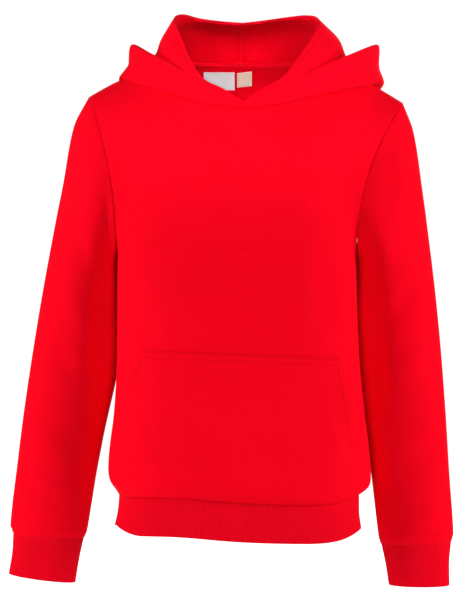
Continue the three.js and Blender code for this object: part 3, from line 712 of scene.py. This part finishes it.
# Kangaroo pocket: one piece of the fleece on the front, with a slanted hand opening at each side.
# Its top is sewn down in two rows, its openings are hemmed in two rows, and the band's seam holds its bottom.
POCKET_ROWS = (1.8, 8.2)
POCKET_ROW_ENDS = (0.012, 0.988)
LEFT_OPENING_SHARE = 0.44
RIGHT_OPENING_SHARE = 0.70
POCKET_CREASES = [
    {"line": [(-52, -98, -446), (-55, -98, -456), (-58, -97, -466)], "width": 5, "height": -1.4},
    {"line": [(104, -86, -402), (112, -82, -418), (118, -76, -434)], "width": 6, "height": 1.1},
    {"line": [(-30, -100, -366), (10, -100, -372), (46, -100, -368)], "width": 12, "height": 0.9},
    {"line": [(-96, -90, -352), (-70, -96, -380), (-60, -98, -410)], "width": 12, "height": 0.8},
    # the two hand openings stand off the body a little
    {"line": [(-119, -68, -322), (-129, -64, -347), (-139, -60, -374)], "width": 9, "height": 2.0, "hold": 0},
    {"line": [(112, -70, -322), (117, -68, -350), (123, -64, -384), (128, -58, -418)], "width": 9, "height": 2.0,
     "hold": 0},
]
pocket, pocket_edges = make_cloth("front_pocket", "pocket", FLEECE_WALL, POCKET_CREASES, ease=(0, -0.5, 0))
pocket_top = edge_near(pocket_edges, (0, -100, -318))
left_opening = edge_near(pocket_edges, (-131, -62, -350))
right_opening = edge_near(pocket_edges, (120, -62, -370))
# each edge runs on below its hand opening, and only the opening is topstitched
left_opening = left_opening[:int(LEFT_OPENING_SHARE * len(left_opening))]
right_opening = right_opening[int((1 - RIGHT_OPENING_SHARE) * len(right_opening)):]
mark_topstitching(pocket, [pocket_top, left_opening, right_opening])
pocket_stitches = sew(
    "pocket_stitching",
    [seam_line(pocket, edge, row, *POCKET_ROW_ENDS) for edge in (pocket_top, left_opening, right_opening)
     for row in POCKET_ROWS],
    red_thread,
)
finish_cloth(pocket, "pocket", fleece("pocket_fleece", *POCKET_ROWS))

# Hood: two halves, each cut double from the fleece, joined along the middle of the head and round the face.
# It lies back on the shoulders, its folded edge standing round the neck and crossing over at the throat.
HOOD_WALL = 3.5
HOOD_EDGE_ROW = 7
HOOD_CREASES = {
    "left": [
        # gathers beside the middle seam, where the hood stands behind the neck
        {"line": [(-9, 113, 84), (-9, 116, 66), (-8, 124, 48)], "width": 5, "height": 1.2, "hold": 4},
        {"line": [(-21, 112, 84), (-20, 116, 66), (-19, 122, 52)], "width": 6, "height": -2.2, "hold": 4},
        {"line": [(-46, 110, 82), (-42, 114, 66), (-38, 122, 48)], "width": 10, "height": 2.0},
        {"line": [(-70, 104, 74), (-64, 110, 58), (-56, 120, 44)], "width": 10, "height": -1.8},
        # slack of the hood's bag, hanging behind
        {"line": [(-136, 96, -6), (-112, 130, -48), (-66, 150, -84)], "width": 13, "height": 3.0},
        {"line": [(-118, 120, 8), (-92, 146, -26), (-48, 156, -58)], "width": 13, "height": -3.0},
        {"line": [(-84, 134, 26), (-58, 148, 4), (-22, 152, -14)], "width": 12, "height": 2.2},
        {"line": [(-138, 46, -14), (-122, 60, -34), (-104, 92, -70)], "width": 12, "height": -2.2},
    ],
    "right": [
        {"line": [(13, 113, 84), (13, 116, 66), (12, 124, 48)], "width": 5, "height": -2.0, "hold": 4},
        {"line": [(27, 112, 84), (27, 116, 66), (25, 122, 52)], "width": 7, "height": 1.6, "hold": 4},
        {"line": [(40, 110, 82), (38, 116, 66), (36, 122, 52)], "width": 7, "height": -1.6},
        {"line": [(72, 100, 74), (66, 108, 58), (58, 118, 44)], "width": 12, "height": -2.8},
        {"line": [(142, 92, -2), (116, 130, -40), (72, 150, -78)], "width": 13, "height": 3.0},
        {"line": [(120, 120, 10), (94, 146, -18), (50, 156, -50)], "width": 13, "height": -2.8},
        {"line": [(88, 132, 24), (60, 148, 0), (24, 154, -22)], "width": 12, "height": 2.0},
        {"line": [(146, 44, -18), (128, 62, -40), (108, 92, -74)], "width": 12, "height": -2.4},
    ],
}
hood_fleece = fleece("hood_fleece", HOOD_EDGE_ROW, brushed=False)
for side, sign in (("left", -1), ("right", 1)):
    hood, hood_edges = make_cloth(
        f"{side}_hood", f"hood_{side}", HOOD_WALL, HOOD_CREASES[side], ease=(0, 0, 0.25)
    )
    middle_edges = [line for line in hood_edges if all(abs(p.x) < 1 * MM and p.y > 0 for p, _ in line)]
    face_edge = edge_near(hood_edges, (sign * 100, 20, 72))
    mark_topstitching(hood, [face_edge, *middle_edges])
    hood_rows = [seam_line(hood, line, HOOD_EDGE_ROW, *ROW_ENDS) for line in (face_edge, *middle_edges)]
    sewn = [sew(f"{side}_hood_stitching", hood_rows, red_thread)]
    if side == "left":
        sewn.append(close_seam("hood_middle_seam", middle_edges, HOOD_WALL, red_thread))
    finish_cloth(hood, f"hood_{side}", hood_fleece)

# Labels: two woven satin tapes with a plain woven border and nothing on them, cut and folded.
# Their upper ends are caught in the back neck seam, and they hang down inside the back.
LABEL_WALL = 0.8
LABEL_BORDER = {"inset": 1.7, "half_width": 0.5}
LABELS = {
    "neck_label": {
        "slot": "label_grey", "deep": (0.74, 0.70, 0.76), "bright": (0.86, 0.82, 0.88), "flat": (0.038, 0.021),
    },
    "size_label": {
        "slot": "label_sand", "deep": (0.78, 0.60, 0.48), "bright": (0.90, 0.74, 0.60), "flat": (0.018, 0.017),
    },
}
for node, facts in LABELS.items():
    satin, tree, shader, colour = cloth_shader(
        facts["slot"], deep=facts["deep"], bright=facts["bright"], rough=0.5, sheen=0.1, sheen_tint=(1, 1, 1)
    )
    weave = add(tree, "ShaderNodeTexNoise", inputs={"Scale": 1400.0, "Detail": 2.0})
    tree.links.new(add(tree, "ShaderNodeTexCoord").outputs["Object"], weave.inputs["Vector"])
    from_edge = add(tree, "ShaderNodeAttribute", props={"attribute_name": "seam"}).outputs["Fac"]
    border = furrow(
        tree, math_node(tree, "MULTIPLY", from_edge, 1000.0), LABEL_BORDER["inset"], LABEL_BORDER["half_width"]
    )
    tree.links.new(math_node(tree, "SUBTRACT", weave.outputs[0], border), colour.inputs[0])
    label, _ = make_cloth(f"woven_{node}", node, LABEL_WALL)
    finish_cloth(label, node, satin)

# The studio: a plain pale floor that fades out into a white surround.
# Soft lamps stand at both sides, in front and behind, and a narrow one shines into the hood's opening.
FLOOR_RADIUS = 3.0
FLOOR_LEVEL = -0.72
FLOOR_GLOW = 0.55
SURROUND_SEEN = 1.05
SURROUND_LIGHT = 0.10
scene = bpy.context.scene
scene.view_settings.view_transform = "Standard"
bpy.ops.mesh.primitive_circle_add(vertices=96, radius=FLOOR_RADIUS, fill_type="NGON", location=(0, 0.3, FLOOR_LEVEL))
floor = bpy.context.object
floor.name = "floor"
pale = bpy.data.materials.new("pale_floor")
pale.use_nodes = True
tree = pale.node_tree
shader = tree.nodes["Principled BSDF"]
shader.inputs["Base Color"].default_value = (0.86, 0.86, 0.86, 1)
shader.inputs["Roughness"].default_value = 0.9
spot = add(tree, "ShaderNodeTexGradient", props={"gradient_type": "SPHERICAL"})
place = add(tree, "ShaderNodeMapping", inputs={"Scale": (0.34, 0.34, 0.34),
            "Vector": add(tree, "ShaderNodeTexCoord").outputs["Object"]})
tree.links.new(place.outputs[0], spot.inputs[0])
fade = add(tree, "ShaderNodeMapRange", inputs={"Value": spot.outputs[1], "From Min": 0.05, "From Max": 0.6})
tree.links.new(fade.outputs[0], shader.inputs["Alpha"])
glow = add(tree, "ShaderNodeMath", props={"operation": "MULTIPLY"},
           inputs={0: add(tree, "ShaderNodeLightPath").outputs["Is Camera Ray"], 1: FLOOR_GLOW})
tree.links.new(glow.outputs[0], shader.inputs["Emission Strength"])
shader.inputs["Emission Color"].default_value = (1, 1, 1, 1)
floor.data.materials.append(pale)

world = bpy.data.worlds.new("studio")
world.use_nodes = True
scene.world = world
tree = world.node_tree
surround = tree.nodes["Background"]
seen = add(tree, "ShaderNodeLightPath")
shown = add(tree, "ShaderNodeMapRange",
            inputs={"Value": seen.outputs["Is Camera Ray"], "To Min": SURROUND_LIGHT, "To Max": SURROUND_SEEN})
tree.links.new(shown.outputs[0], surround.inputs["Strength"])
surround.inputs["Color"].default_value = (1, 1, 1, 1)


def soft_lamp(name, place, aim, width, height, power):
    """A wide soft lamp that looks at a point."""
    data = bpy.data.lights.new(name, "AREA")
    data.shape = "RECTANGLE"
    data.size, data.size_y, data.energy = width, height, power
    lamp = bpy.data.objects.new(name, data)
    lamp.location = place
    lamp.rotation_euler = (Vector(aim) - Vector(place)).to_track_quat("-Z", "Y").to_euler()
    scene.collection.objects.link(lamp)
    lamp.visible_camera = False
    return lamp


soft_lamp("left_lamp", (-2.8, -1.05, 0.1), (0, 0, -0.25), 0.8, 1.6, 66)
soft_lamp("right_lamp", (2.8, -1.05, 0.1), (0, 0, -0.25), 0.8, 1.6, 63)
soft_lamp("front_lamp", (0.0, -3.3, -0.3), (0, 0, -0.25), 1.0, 0.8, 26)
hood_lamp = soft_lamp("hood_lamp", (0.0, -2.6, 0.25), (0, 0.1, 0.07), 0.35, 0.25, 0.24)
hood_lamp.data.spread = math.radians(9)
soft_lamp("back_lamp", (0.3, 2.8, 1.2), (0, 0, -0.2), 1.8, 1.4, 85)
